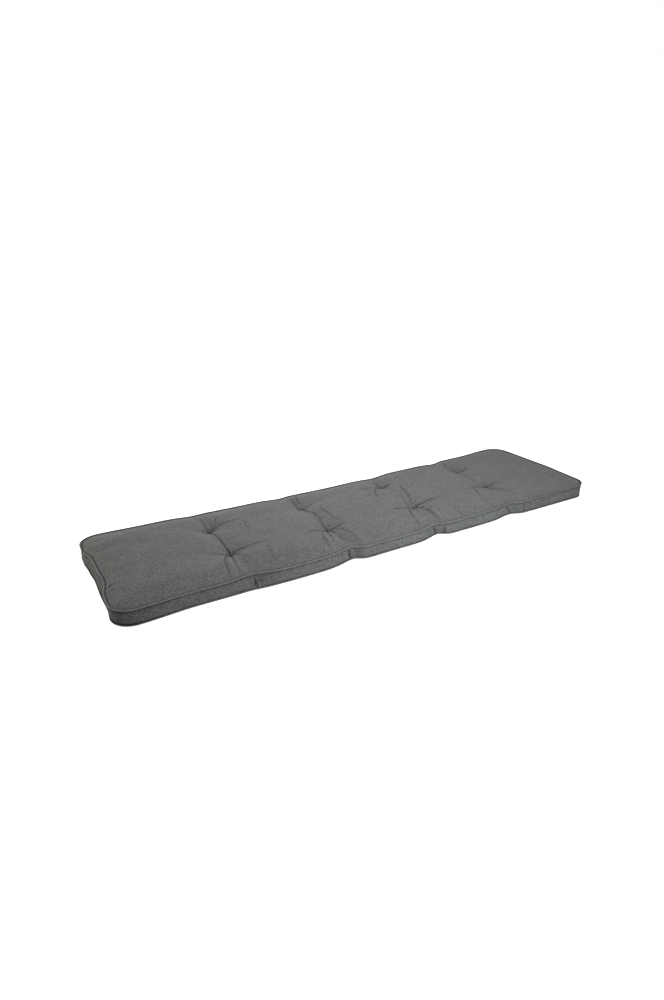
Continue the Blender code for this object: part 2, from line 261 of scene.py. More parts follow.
# A fold's ridges as shares of its depth and width, then how it starts, holds and ends along its length
FOLD_RIDGE = 0.40
FOLD_RIDGE_PLACE = 2.2
FOLD_RIDGE_WIDTH = 1.3
FOLD_START = 0.10
FOLD_LEAD = 0.02
FOLD_HELD = 0.68
FOLD_FALL = 1.5
FOLD_END = 6
FOLD_STEP = 0.004

# Where folds are weaker: next to the seam, and on the level spot of a tuft
SEAM_FREE = 0.012
SEAM_FOLD = 0.25
SPOT_FLAT = 0.002
SPOT_FADE = 0.004

# Shade in folds and tufts: the groove that counts as a full one, and how dark each place gets
FULL_GROOVE = 0.0026
FOLD_SHADE = 0.44
TUFT_DARK = 0.66

# How much of its colour the cloth loses where its shade is full
FULL_SHADE = 0.78

# Shade in the groove between panel and piping: half width, darkness on each side, and the far left corner
RIM_SHADE = 0.0021
RIM_SHADE_RIGHT = 0.0034
RIM_FRONT = 0.12
RIM_BACK = 0.42
RIM_LEFT = 0.38
RIM_RIGHT = 1.0
RIM_CORNER = 0.85
FAR_LEFT_CORNER = (-0.735, 0.200)
CORNER_REACH = 0.050

# Gathers round each tuft, and slow waves all over the cloth
GATHER_COUNTS = (5, 8, 11)
GATHER_DEPTH = 0.0011
GATHER_REACH = 0.020
GATHER_START = 0.004
WAVE_DEPTH = 0.00022
WAVE_COUNT = 14
WAVE_LENGTHS = (0.060, 0.190)
SEED = 11

# The boxing band: a ribbed strip with a small thickness
RIB_PITCH = 0.0047
PICK_LENGTH = 0.0034
RIB_DEPTH = 0.00055
RIB_POWER = 0.8
RIB_STEPS = 5
BAND_THICKNESS = 0.0012
BAND_TUCKED = 0.0022
BAND_FULL = -0.0005
BAND_TURN = 0.15
BAND_TUCK = 0.0012
BAND_SHARES = (0.0, 0.04, 0.09, 0.16, 0.30, 0.50, 0.70, 0.84, 0.91, 0.96, 1.0)
BAND_BACK_SHARES = (1.0, 0.5, 0.0)
SWAY_TURNS = (23, 37, 61, 83)
SWAY_DEPTH = 0.00022

# Shade on the band: the line under the top piping, ticks between the ribs below it, and the foot over the
# under piping. How tall each is counts as a share of the height between the seams. The line and the foot
# are taller and darker at the shaded corner.
BAND_HIDDEN = 0.09
LINE_TALL = 0.08
LINE_TALL_CORNER = 0.10
LINE_DARK = 0.60
LINE_RIBS = 0.3
TICK_TALL = 0.22
TICK_DARK = 0.55
FOOT_DARK = 0.10
FOOT_START = 0.04
FOOT_TALL = 0.07
FOOT_TALL_CORNER = 0.16

# The two corners of the band that lie in shade: place, reach and darkness
CORNER_DARK = 0.34
SHADED_CORNER = (-0.735, -0.200)
SHADED_REACH = 0.095
RIGHT_CORNER = (0.740, -0.190)
RIGHT_REACH = 0.040
RIGHT_DARK = 0.48

# A pucker's height, how it fades next to the seams, its ridges, and the depth at which its painted shade is
# full
PUCKER_TALL = 0.55
PUCKER_TURN = 0.13
PUCKER_RIDGE = 0.3
PUCKER_RIDGE_PLACE = 2.2
FULL_PUCKER = 0.0040

# Puckers in the front and back of the band: place along X at the under seam and at the top seam, depth,
# half width, and where they are deepest as a share of the height
FRONT_PUCKERS = (
    (-0.420, -0.424, 0.0040, 0.0032, 0.25),
    (-0.404, -0.412, 0.0014, 0.0050, 0.60),
    (-0.151, -0.160, 0.0046, 0.0034, 0.45),
    (-0.132, -0.138, 0.0008, 0.0046, 0.40),
    (-0.176, -0.186, 0.0014, 0.0050, 0.65),
    (0.136, 0.118, 0.0042, 0.0036, 0.45),
    (0.158, 0.150, 0.0024, 0.0040, 0.35),
    (0.112, 0.096, 0.0016, 0.0046, 0.70),
    (0.419, 0.388, 0.0036, 0.0036, 0.50),
    (0.461, 0.453, 0.0022, 0.0040, 0.40),
    (0.434, 0.420, 0.0014, 0.0046, 0.60),
)
BACK_PUCKERS = (
    (-0.452, -0.446, 0.0034, 0.0036, 0.50),
    (-0.182, -0.176, 0.0036, 0.0036, 0.50),
    (-0.164, -0.158, 0.0018, 0.0044, 0.40),
    (0.168, 0.174, 0.0040, 0.0036, 0.50),
    (0.190, 0.194, 0.0018, 0.0044, 0.60),
    (0.428, 0.432, 0.0038, 0.0036, 0.50),
)

PIPING_RADIUS = 0.0022
PIPING_SIDES = 12
PIPING_STEPS = 4
PIPING_TWIST = 1
PIPING_RIB = 0.00016

# Painted shade round the piping: where it starts and how softly, towards the panel and the band, and at the
# right end on all but the outer side; painted light that makes it paler on the left end, and weaker shade on
# the under piping
SIDE_START = 0.3
SIDE_SOFT = 0.8
RIGHT_START = 2.5
RIGHT_SOFT = 0.4
PIPING_PAINTED_LIGHT = 0.40
PIPING_UNDER = 0.25

# A tuft's thread: its strands side by side, the arch that they make, and the lobes of their twist
THREAD_RADIUS = 0.00042
THREAD_SPAN = 0.0072
THREAD_STRANDS = (-0.00085, 0.0, 0.00085)
THREAD_RISE = 0.0011
THREAD_SINK = 0.0016
THREAD_ARCH = 3.5
THREAD_CLOSING = 0.25
THREAD_SIDES = 8
THREAD_STEPS = 14
THREAD_TURN = 0.45
LOBES = 3
LOBE_DEPTH = 0.10
LOBE_TURN = 0.9

# The weave: how round a crest is, how much a pick stands out, and the noise that gives each pick its yarn
CREST_ROUND = 0.6
PICK_RELIEF = 0.3
YARN_ACROSS = 3.7
YARN_ALONG = 0.9
YARN_RANGE = (0.30, 0.70)

# Slow patches and fine fuzz: how fine they are, how much they change the colour, and the fuzz's share of
# the bump, with how deep the whole bump is
PATCH_SCALE = 9.0
PATCH_DEPTH = 0.5
FUZZ_SCALE = 900.0
FUZZ_DEPTH = 0.3
FUZZ_RELIEF = 0.15
BUMP_DEPTH = 0.0006

# Roughness of the cloth between its crests, and how much smoother a crest is
CLOTH_ROUGH = 0.97
CREST_SMOOTH = 0.12

# The cloths: dark and light yarn, how dark the painted shade between the ribs is, strength of the bump, and
# sheen
CLOTHS = {
    "cover": ((0.135, 0.137, 0.133), (0.230, 0.233, 0.226), 0.42, 1.0, 0.10),
    # Painted shade: the band's yarns are darker than the cover's, for the upright sides of the same cloth
    "band": ((0.093, 0.096, 0.096), (0.165, 0.169, 0.170), 0.52, 0.3, 0.10),
    "piping": ((0.130, 0.133, 0.129), (0.195, 0.198, 0.193), 0.30, 0.3, 0.02),
}

# The thread's material: its two colours, and how fine and how deep its twist is
THREAD_DARK = (0.008, 0.008, 0.008)
THREAD_LIGHT = (0.03, 0.03, 0.03)
TWIST_SCALE = 900.0
TWIST_DEPTH = 0.0001

# The camera: where it stands, its heading from +Y towards +X, how far down it looks, its roll and its lens
CAMERA_PLACE = (-0.8834, -1.4056, 0.7649)
CAMERA_HEADING = 29.46
CAMERA_DOWN = 22.77
CAMERA_ROLL = -0.73
CAMERA_LENS = 21.918

# The studio: a little light from all round, how white the floor shows, and how much of that lights things
SKY_FILL = 0.10
FLOOR_GLOW = 1.00
FLOOR_LIGHT = 0.26
FLOOR_REACH = 40.0
FLOOR_GAP = 0.0002

# Softboxes: where each stands, what it looks at, its size, its power and its slight tint
SOFTBOXES = (
    ("over", (0.08, 0.03, 1.2), (0.08, 0.0, 0.0), (1.0, 0.6), 8.3, (1.0, 1.0, 1.0)),
    ("left", (-1.9, 0.9, 0.45), (-0.7, 0.0, 0.0), (0.7, 0.5), 14.9, (1.0, 1.0, 0.90)),
    ("front", (-0.10, -1.2, 0.3), (-0.15, -0.2, 0.02), (0.6, 0.5), 5.0, (1.0, 1.0, 1.0)),
    ("low_right", (0.20, -1.05, 0.22), (0.16, -0.2, 0.02), (0.5, 0.3), 5.4, (0.96, 0.99, 1.0)),
    ("back", (0.3, 1.6, 0.6), (0.0, 0.2, 0.0), (1.4, 0.6), 13.3, (0.94, 0.98, 1.0)),
    ("right", (1.9, 0.1, 0.5), (0.75, 0.0, 0.0), (0.7, 0.5), 3.4, (0.95, 0.99, 1.0)),
)

TINY = 1e-9


def clamp(value, low=0.0, high=1.0):
    return np.minimum(np.maximum(value, low), high)


def mix(start, end, share):
    return start + (end - start) * share


def ease(share):
    """From 0 to 1, level at both ends."""
    share = clamp(share)
    return share * share * (3.0 - 2.0 * share)


def bell(distance, width):
    return np.exp(-(distance / width) ** 2)


def near(points, place, reach):
    """1 at the place, falling off round it."""
    return bell(np.linalg.norm(points - place, axis=1), reach)


def through(rows, at, column):
    """A soft curve through one column of a table, level at each of its rows."""
    places = np.array([row[0] for row in rows])
    values = np.array([row[column] for row in rows])
    low = np.clip(np.searchsorted(places, at, side="right") - 1, 0, len(rows) - 2)
    share = ease((at - places[low]) / (places[low + 1] - places[low]))
    return mix(values[low], values[low + 1], share)


def dent(distance, before, after):
    """A smooth notch, 1 at its bottom, whose two flanks may differ in width."""
    return bell(distance, np.where(distance < 0, before, after))


def front_inset(x, level):
    """How far in the front edge lies. Level is 0 at the under seam and 1 at the top seam."""
    inset = mix(through(PADS, x, 2), through(PADS, x, 1), level)
    for column in COLUMNS:
        pairs = zip(column["under_notch"], column["top_notch"])
        place, depth, before, after = [mix(under, top, level) for under, top in pairs]
        inset = inset + depth * dent(x - place, before, after)
    return inset


def back_inset(x):
    inset = through(PADS, x, 3)
    for column in COLUMNS:
        place, depth, before, after = column["back_notch"]
        inset = inset + depth * dent(x - place, before, after)
    return inset


def end_inset(rows, y, level):
    return mix(through(rows, y, 2), through(rows, y, 1), level)


def tufts():
    """Each tuft's place on the plain pattern and its real place."""
    for place, column in zip(COLUMN_PLACES, COLUMNS):
        yield np.array((place, ROW_PLACES[0])), np.array(column["front"])
        yield np.array((place, ROW_PLACES[1])), np.array(column["back"])


def fade(distance):
    return 1.0 - ease(distance / EDGE_FADE)


def settle(points, level):
    """Move points of the plain pattern to where the sewn and tufted cushion has them."""
    x, y = points[:, 0], points[:, 1]
    held_x = clamp(x, CORNER_RADIUS - LENGTH / 2, LENGTH / 2 - CORNER_RADIUS)
    held_y = clamp(y, CORNER_RADIUS - WIDTH / 2, WIDTH / 2 - CORNER_RADIUS)
    moved = points.copy()
    moved[:, 1] += front_inset(held_x, level) * fade(y + WIDTH / 2)
    moved[:, 1] -= back_inset(held_x) * fade(WIDTH / 2 - y)
    moved[:, 0] += end_inset(LEFT_END, held_y, level) * fade(x + LENGTH / 2)
    moved[:, 0] -= end_inset(RIGHT_END, held_y, level) * fade(LENGTH / 2 - x)
    for plain, real in tufts():
        moved += (real - plain) * near(points, plain, TUFT_PULL)[:, None]
    return moved


def round_corners(points):
    """Points of the square-cornered grid once the corners are round.

    Returns the points, their feet on the outline, the outline's direction there and the inset from it.
    """
    size = np.array((LENGTH / 2, WIDTH / 2))
    side = np.where(points < 0, -1.0, 1.0)
    over = np.abs(points) - (size - CORNER_RADIUS)
    inset_xy = size - np.abs(points)
    on_end = (inset_xy[:, 0] < inset_xy[:, 1])[:, None]
    foot = np.where(on_end, np.stack((side[:, 0] * size[0], points[:, 1]), axis=1),
                    np.stack((points[:, 0], side[:, 1] * size[1]), axis=1))
    out = np.where(on_end, side * (1.0, 0.0), side * (0.0, 1.0))
    inset = inset_xy.min(axis=1)

    corner = (over > 0).all(axis=1)
    reach = over.max(axis=1)
    part = 45.0 * over.min(axis=1) / np.maximum(reach, TINY)
    angle = np.radians(np.where(over[:, 0] >= over[:, 1], part, 90.0 - part))
    turned = side * np.stack((np.cos(angle), np.sin(angle)), axis=1)
    middle = side * (size - CORNER_RADIUS)
    pick = corner[:, None]
    round_points = np.where(pick, middle + turned * reach[:, None], points)
    foot = np.where(pick, middle + turned * CORNER_RADIUS, foot)
    out = np.where(pick, turned, out)
    inset = np.where(corner, CORNER_RADIUS - reach, inset)
    return round_points, foot, out, inset


def beside_seam(foot, out, level, inset):
    """The points that lie square in from the settled seam by the inset, or out from it if negative."""
    along = np.stack((-out[:, 1], out[:, 0]), axis=1) * PROBE
    run = settle(foot + along, level) - settle(foot - along, level)
    inward = np.stack((-run[:, 1], run[:, 0]), axis=1)
    inward /= np.linalg.norm(inward, axis=1)[:, None]
    return settle(foot, level) + inward * np.broadcast_to(inset, len(foot))[:, None]


def grid_places(points, level):
    """The grid's settled places and their insets from the outline."""
    plain, foot, out, inset = round_corners(points)
    at_seam = (1.0 - ease((inset - SEAM_NEAR) / (SEAM_FAR - SEAM_NEAR)))[:, None]
    return mix(settle(plain, level), beside_seam(foot, out, level, inset), at_seam), inset


def from_line(points, start, end):
    """Distance of each point from a straight stretch, and how far along it the nearest place is."""
    run = end - start
    share = clamp((points - start) @ run / (run @ run))
    return np.linalg.norm(points - start - share[:, None] * run, axis=1), share


def valleys():
    """The soft valleys: start, end, and depth and half width."""
    for column in COLUMNS:
        front_x = column["top_notch"][0]
        back_x = column["back_notch"][0]
        front_edge = np.array((front_x, front_inset(np.array(front_x), 1.0) - WIDTH / 2))
        back_edge = np.array((back_x, WIDTH / 2 - back_inset(np.array(back_x))))
        front = np.array(column["front"])
        back = np.array(column["back"])
        yield front, back, VALLEY_BETWEEN
        yield front, front_edge, VALLEY_TO_FRONT
        yield back, back_edge, VALLEY_TO_BACK
    for row in ("front", "back"):
        for before, after in zip(COLUMNS, COLUMNS[1:]):
            yield np.array(before[row]), np.array(after[row]), VALLEY_ALONG


def from_tufts(points):
    """Distance of each point from the nearest tuft."""
    return np.min([np.linalg.norm(points - real, axis=1) for _, real in tufts()], axis=0)


def pinch(points, flare):
    """1 on a tuft's level spot, falling off round it."""
    return np.exp(-np.maximum(from_tufts(points) - TUFT_SPOT, 0.0) / flare)


def top_heights(points, inset):
    rise = 1.0 - (1.0 - clamp((inset - SEAM_SEAT) / CROWN_REACH)) ** CROWN_POWER
    sunk = np.max([depth * bell(from_line(points, start, end)[0], width)
                   for start, end, (depth, width) in valleys()], axis=0)
    heights = TOP_SEAM + CROWN * rise - sunk * rise
    return mix(heights, TUFT_TOP, pinch(points, TUFT_FLARE_TOP))


def under_heights(points, inset):
    roll = 1.0 - clamp((inset - SEAM_SEAT) / (UNDER_ROLL - SEAM_SEAT))
    lift = np.maximum(pinch(points, TUFT_FLARE_UNDER) - TUFT_CUT, 0.0) / (1.0 - TUFT_CUT)
    return np.maximum(UNDER_SEAM * roll ** 2, TUFT_UNDER * lift)


def grid_lines(size, tuft_places):
    """Lines across the pattern, closer together near the tufts and next to the seam."""
    inner = size / 2 - FIRST_INNER_LINE
    fine = np.linspace(-inner, inner, GRID_SAMPLES)
    nearest = np.abs(fine[:, None] - np.array(tuft_places)).min(axis=1)
    step = mix(FINE_STEP, COARSE_STEP, ease((nearest - FINE_REACH) / (COARSE_REACH - FINE_REACH)))
    count = np.concatenate(([0.0], np.cumsum(np.diff(fine) * (1 / step[1:] + 1 / step[:-1]) / 2)))
    lines = np.interp(np.linspace(0.0, count[-1], round(count[-1]) + 1), count, fine)
    rim = np.array([size / 2 - inset for inset in RIM_LINES])
    return np.concatenate((-rim, lines, rim[::-1]))


def place_in_frame():
    """The shift from the pattern's own origin to the frame's, from where a packed tuft stitch lies."""
    low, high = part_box("tuft_stitch_top_front_1")
    return np.array(((low + high) / 2)[:2]) - np.array(COLUMNS[0]["front"])


MIDDLE = place_in_frame()


def at_height(places, heights):
    """Pattern places and heights as points in the frame."""
    heights = np.broadcast_to(heights, len(places))
    return np.column_stack((places + MIDDLE, heights))


def add_object(name, data):
    added = bpy.data.objects.new(name, data)
    bpy.context.scene.collection.objects.link(added)
    return added


def new_piece(name, points, faces, attributes):
    """A smooth mesh object. Each attribute is one number for each point."""
    data = bpy.data.meshes.new(name)
    data.from_pydata(points.tolist(), [], faces.tolist())
    data.shade_smooth()
    piece = add_object(name, data)
    for key, values in attributes.items():
        write_attribute(piece, key, values)
    return piece


def finish_piece(piece, material, slot, *nodes):
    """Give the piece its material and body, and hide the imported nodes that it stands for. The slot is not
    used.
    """
    piece.data.materials.append(material)
    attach(piece, "root")
    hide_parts(*nodes)


def read_points(piece):
    points = np.zeros(len(piece.data.vertices) * 3)
    piece.data.vertices.foreach_get("co", points)
    return points.reshape(-1, 3)


def write_points(piece, points):
    piece.data.vertices.foreach_set("co", points.ravel())
    piece.data.update()


def read_attribute(piece, key):
    values = np.zeros(len(piece.data.vertices), dtype=np.float32)
    piece.data.attributes[key].data.foreach_get("value", values)
    return values


def write_attribute(piece, key, values):
    data = piece.data
    layer = data.attributes.get(key) or data.attributes.new(key, "FLOAT", "POINT")
    layer.data.foreach_set("value", np.asarray(values, dtype=np.float32))


def quads_between(loop, next_loop):
    """Faces from one closed loop of points to the next one."""
    return np.stack((loop, np.roll(loop, -1), np.roll(next_loop, -1), next_loop), axis=1)


def rim_order(across, down):
    """Index of each grid point on the rim, anticlockwise as seen from above."""
    index = np.arange(across * down).reshape(across, down)
    return np.concatenate((index[:-1, 0], index[-1, :-1], index[:0:-1, -1], index[0, :0:-1]))


def build_cover():
    """Both panels with the filling between them, as one closed body."""
    xs = grid_lines(LENGTH, COLUMN_PLACES)
    ys = grid_lines(WIDTH, ROW_PLACES)
    grid = np.stack(np.meshgrid(xs, ys, indexing="ij"), axis=-1).reshape(-1, 2)
    pattern = round_corners(grid)[0]
    top_places, inset = grid_places(grid, 1.0)
    under_places, _ = grid_places(grid, 0.0)
    index = np.arange(len(grid)).reshape(len(xs), len(ys))
    corners = (index[:-1, :-1], index[1:, :-1], index[1:, 1:], index[:-1, 1:])
    square = np.stack(corners, axis=-1).reshape(-1, 4)
    points = [at_height(top_places, top_heights(top_places, inset)),
              at_height(under_places, under_heights(under_places, inset))]
    faces = [square, square[:, ::-1] + len(grid)]

    rim = rim_order(len(xs), len(ys))
    _, foot, out, _ = round_corners(grid[rim])
    loop = rim
    for row, (level, row_inset, height) in enumerate(CORE_ROWS):
        row_inset = row_inset + puckers(foot, out, level)
        points.append(at_height(beside_seam(foot, out, level, row_inset), height))
        next_loop = 2 * len(grid) + row * len(rim) + np.arange(len(rim))
        faces.append(quads_between(next_loop, loop))
        loop = next_loop
    faces.append(quads_between(rim + len(grid), loop))

    side_count = len(CORE_ROWS) * len(rim)
    part = np.concatenate((np.ones(len(grid)), -np.ones(len(grid)), np.zeros(side_count)))
    pattern = np.concatenate((pattern, pattern, np.tile(pattern[rim], (len(CORE_ROWS), 1))))
    attributes = {"panel": part, "across_ribs": pattern[:, 0], "along_ribs": pattern[:, 1],
                  "from_seam": np.concatenate((inset, inset, np.zeros(side_count))),
                  "swell": np.zeros(2 * len(grid) + side_count)}
    return new_piece("cushion_cover", np.concatenate(points), np.concatenate(faces), attributes)


def held_share(cover):
    """Where the cloth is held while it swells: 1 on seams, tufts and underside, 0 on the open pads."""
    places = read_points(cover)[:, :2] - MIDDLE
    seam = 1.0 - ease((read_attribute(cover, "from_seam") - HELD_NEAR) / (HELD_FAR - HELD_NEAR))
    spot = 1.0 - ease((from_tufts(places) - HELD_SPOT) / HELD_SPOT_FADE)
    return np.where(read_attribute(cover, "panel") > 0.5, np.maximum(seam, spot), 1.0)


def swell(cover):
    """Let the filling's pressure swell the cloth of the top panel, and no point move past the cap."""
    start = read_points(cover)
    group = cover.vertex_groups.new(name="held")
    for number, share in enumerate(held_share(cover)):
        group.add([number], float(share), "REPLACE")
    modifier = cover.modifiers.new("swell", "CLOTH")
    for key, value in SWELL_CLOTH.items():
        setattr(modifier.settings, key, value)
    modifier.settings.effector_weights.gravity = 0.0
    modifier.point_cache.frame_start = 1
    modifier.point_cache.frame_end = SWELL_FRAMES
    scene = bpy.context.scene
    for number in range(1, SWELL_FRAMES + 1):
        scene.frame_set(number)
    evaluated = cover.evaluated_get(bpy.context.evaluated_depsgraph_get())
    swollen = np.zeros(len(start) * 3)
    evaluated.data.vertices.foreach_get("co", swollen)
    moved = swollen.reshape(-1, 3) - start
    length = np.linalg.norm(moved, axis=1)
    moved *= (SWELL_CAP * np.tanh(length / SWELL_CAP) / np.maximum(length, TINY))[:, None]
    cover.modifiers.remove(modifier)
    cover.vertex_groups.clear()
    write_points(cover, start + moved)
    write_attribute(cover, "swell", moved[:, 2])
    scene.frame_set(1)


def is_part_split(face):
    """Whether a face has more than four corners, or a corner in the middle of a straight side."""
    corners = len(face.verts)
    return corners > 4 or corners == 4 and any(loop.calc_angle() > STRAIGHT for loop in face.loops)


def refine(piece, wanted):
    """Split the edges whose two points are both wanted, and the faces between them."""
    mesh = bmesh.new()
    mesh.from_mesh(piece.data)
    mesh.verts.ensure_lookup_table()
    edges = [edge for edge in mesh.edges if wanted[edge.verts[0].index] and wanted[edge.verts[1].index]]
    bmesh.ops.subdivide_edges(mesh, edges=edges, cuts=1, use_grid_fill=True)
    bmesh.ops.triangulate(mesh, faces=[face for face in mesh.faces if is_part_split(face)])
    mesh.to_mesh(piece.data)
    mesh.free()


def eased(piece, values):
    """The values averaged with their neighbours on the mesh a few times."""
    edges = np.zeros(len(piece.data.edges) * 2, dtype=np.int64)
    piece.data.edges.foreach_get("vertices", edges)
    starts, ends = edges.reshape(-1, 2).T
    degree = np.bincount(edges, minlength=len(values))
    for _ in range(EASE_ROUNDS):
        around = np.bincount(starts, values[ends], len(values))
        around = around + np.bincount(ends, values[starts], len(values))
        values = mix(values, around / np.maximum(degree, 1), 0.5)
    return values


def refine_cover(cover):
    """A finer mesh on the top panel, and finer still at the tufts and along the folds."""
    refine(cover, read_attribute(cover, "panel") > 0.5)
    for tuft_reach, fold_reach in ((TUFT_REFINE, FOLD_REFINE), (TUFT_REFINE_TWICE, FOLD_REFINE_TWICE)):
        places = read_points(cover)[:, :2] - MIDDLE
        panel = read_attribute(cover, "panel")
        at_tuft = (from_tufts(places) < tuft_reach) & (np.abs(panel) > 0.5)
        at_fold = (fold_depths(places)[1] > fold_reach) & (panel > 0.5)
        refine(cover, at_tuft | at_fold)


def settle_heights(cover):
    """Put the finer points on the crowned and tufted shape, lifted as far as the filling swells it."""
    points = read_points(cover)
    places = points[:, :2] - MIDDLE
    panel = read_attribute(cover, "panel")
    inset = read_attribute(cover, "from_seam")
    lift = eased(cover, read_attribute(cover, "swell").astype(float))
    top = panel > 0.5
    under = panel < -0.5
    points[top, 2] = top_heights(places[top], inset[top]) + lift[top]
    points[under, 2] = under_heights(places[under], inset[under])
    write_points(cover, points)


def smooth_line(points, step):
    """A soft curve through a few points, as many points close together."""
    corners = np.array(points, dtype=float)
    ends = np.vstack((2 * corners[0] - corners[1], corners, 2 * corners[-1] - corners[-2]))
    line = []
    for before, start, end, after in zip(ends, ends[1:], ends[2:], ends[3:]):
        steps = max(int(np.linalg.norm(end - start) / step), 1)
        for share in np.arange(steps) / steps:
            line.append(0.5 * (2 * start + (end - before) * share
                               + (2 * before - 5 * start + 4 * end - after) * share ** 2
                               + (3 * start - before - 3 * end + after) * share ** 3))
    line.append(corners[-1])
    return np.array(line)


def fold_depths(places):
    """How far the folds lift each place of the top panel, and the depth of their grooves alone."""
    total = np.zeros(len(places))
    groove = np.zeros(len(places))
    for depth, start_width, end_width, points in FOLDS:
        depth, start_width, end_width = depth * MM, start_width * MM, end_width * MM
        line = smooth_line(np.array(points) * MM, FOLD_STEP)
        margin = end_width * (FOLD_RIDGE_PLACE + 2 * FOLD_RIDGE_WIDTH)
        beside = np.flatnonzero((places > line.min(axis=0) - margin).all(axis=1)
                                & (places < line.max(axis=0) + margin).all(axis=1))
        distance = np.full(len(beside), 1.0)
        along = np.zeros(len(beside))
        for number, (start, end) in enumerate(zip(line, line[1:])):
            away, share = from_line(places[beside], start, end)
            closer = away < distance
            distance = np.where(closer, away, distance)
            along = np.where(closer, (number + share) / (len(line) - 1), along)
        width = mix(start_width, end_width, along)
        strength = depth * mix(FOLD_HELD, 1.0, (1.0 - along) ** FOLD_FALL) * (1.0 - along ** FOLD_END)
        strength = strength * ease((along + FOLD_LEAD) / FOLD_START)
        ridge = bell(distance - FOLD_RIDGE_PLACE * width, FOLD_RIDGE_WIDTH * width)
        cut = strength * bell(distance, width)
        total[beside] += strength * FOLD_RIDGE * ridge - cut
        groove[beside] = np.maximum(groove[beside], cut)
    return total, groove


def gathers(places, random):
    """Small radial gathers round each tuft."""
    total = np.zeros(len(places))
    for _, real in tufts():
        away = places - real
        distance = np.linalg.norm(away, axis=1)
        angle = np.arctan2(away[:, 1], away[:, 0])
        turn = random.uniform(0, math.tau, len(GATHER_COUNTS))
        waves = sum(np.cos(count * angle + shift) for count, shift in zip(GATHER_COUNTS, turn))
        strength = ease(distance / GATHER_START - 1.0) * np.exp(-distance / GATHER_REACH)
        total += GATHER_DEPTH * strength * waves
    return total


def slow_waves(places, random):
    """Uneven filling: soft waves in all directions."""
    total = np.zeros(len(places))
    for _ in range(WAVE_COUNT):
        direction = random.uniform(0, math.tau)
        length = random.uniform(*WAVE_LENGTHS)
        shift = random.uniform(0, math.tau)
        run = places @ np.array((math.cos(direction), math.sin(direction)))
        total += np.cos(math.tau * run / length + shift)
    return total * WAVE_DEPTH


def fold_panels(cover):
    """Folds, gathers and slow waves, once the mesh is fine enough, and the shade that lies in them."""
    random = np.random.default_rng(SEED)
    points = read_points(cover)
    top = read_attribute(cover, "panel") > 0.5
    places = points[top, :2] - MIDDLE
    free = ease((read_attribute(cover, "from_seam")[top] - SEAM_SEAT) / SEAM_FREE)
    spot = ease((from_tufts(places) - SPOT_FLAT) / SPOT_FADE)
    folds, groove = fold_depths(places)
    lift = folds * np.maximum(free, SEAM_FOLD)
    lift += gathers(places, random) * free
    lift += slow_waves(places, random) * free
    points[top, 2] += lift * spot
    write_points(cover, points)
    shade = np.zeros(len(points))
    shade[top] = np.maximum(FOLD_SHADE * clamp(groove / FULL_GROOVE),
                            TUFT_DARK * bell(from_tufts(places), TUFT_SHADE))
    pattern = np.column_stack((read_attribute(cover, "across_ribs"), read_attribute(cover, "along_ribs")))
    reach = mix(RIM_SHADE, RIM_SHADE_RIGHT, facing(pattern)[0] * (pattern[:, 0] > 0))
    rim = bell(read_attribute(cover, "from_seam") - SEAM_SEAT, reach)
    write_attribute(cover, "shade", np.maximum(shade, rim * seam_darkness(pattern)))


def facing(pattern):
    """How much each place near the outline belongs to an end, and how much to a long side."""
    half = np.array((LENGTH / 2, WIDTH / 2)) - CORNER_RADIUS
    over = np.maximum(np.abs(pattern) - half, 0.0) ** 2
    return (over / np.maximum(over.sum(axis=1), TINY)[:, None]).T


def seam_darkness(pattern):
    """How dark the painted shade in the groove is where the panel meets the piping, which differs from side
    to side.
    """
    at_end, at_side = facing(pattern)
    dark = at_end * np.where(pattern[:, 0] < 0, RIM_LEFT, RIM_RIGHT)
    dark = dark + at_side * np.where(pattern[:, 1] < 0, RIM_FRONT, RIM_BACK)
    return np.maximum(dark, RIM_CORNER * near(pattern, FAR_LEFT_CORNER, CORNER_REACH))


def puckers(foot, out, level):
    """How much further in the band lies in its puckers. Level is the share of the height."""
    total = np.zeros(len(foot))
    for rows, side in ((FRONT_PUCKERS, -1.0), (BACK_PUCKERS, 1.0)):
        on_side = ease(out[:, 1] * side * 2 - 1)
        for under_x, top_x, depth, width, deepest in rows:
            away = foot[:, 0] - mix(under_x, top_x, level)
            tall = bell(level - deepest, PUCKER_TALL) * ease(min(level, 1.0 - level) / PUCKER_TURN)
            ridge = bell(np.abs(away) - PUCKER_RIDGE_PLACE * width, width)
            total += depth * tall * on_side * (bell(away, width) - PUCKER_RIDGE * ridge)
    return total


def outline_steps(count):
    """Points spaced evenly round the plain outline, its directions there, and the distance run."""
    straight_x = LENGTH - 2 * CORNER_RADIUS
    straight_y = WIDTH - 2 * CORNER_RADIUS
    arc = math.pi / 2 * CORNER_RADIUS
    perimeter = 2 * (straight_x + straight_y) + 4 * arc
    run = np.arange(count) * perimeter / count
    foot = np.zeros((count, 2))
    out = np.zeros((count, 2))
    begin = 0.0
    corner_x, corner_y = straight_x / 2, straight_y / 2
    sides = (
        ((-corner_x, -WIDTH / 2), (1, 0), straight_x, (corner_x, -corner_y), -90),
        ((LENGTH / 2, -corner_y), (0, 1), straight_y, (corner_x, corner_y), 0),
        ((corner_x, WIDTH / 2), (-1, 0), straight_x, (-corner_x, corner_y), 90),
        ((-LENGTH / 2, corner_y), (0, -1), straight_y, (-corner_x, -corner_y), 180),
    )
    for start, direction, length, middle, first_angle in sides:
        direction = np.array(direction, dtype=float)
        here = (run >= begin) & (run < begin + length)
        foot[here] = np.array(start) + direction * (run[here] - begin)[:, None]
        out[here] = (direction[1], -direction[0])
        begin += length
        here = (run >= begin) & (run < begin + arc + TINY)
        angle = math.radians(first_angle) + (run[here] - begin) / CORNER_RADIUS
        turned = np.stack((np.cos(angle), np.sin(angle)), axis=1)
        foot[here] = np.array(middle) + turned * CORNER_RADIUS
        out[here] = turned
        begin += arc
    return foot, out, run, perimeter


def ribs_round():
    straight = 2 * (LENGTH + WIDTH - 4 * CORNER_RADIUS)
    return round((straight + math.tau * CORNER_RADIUS) / RIB_PITCH)


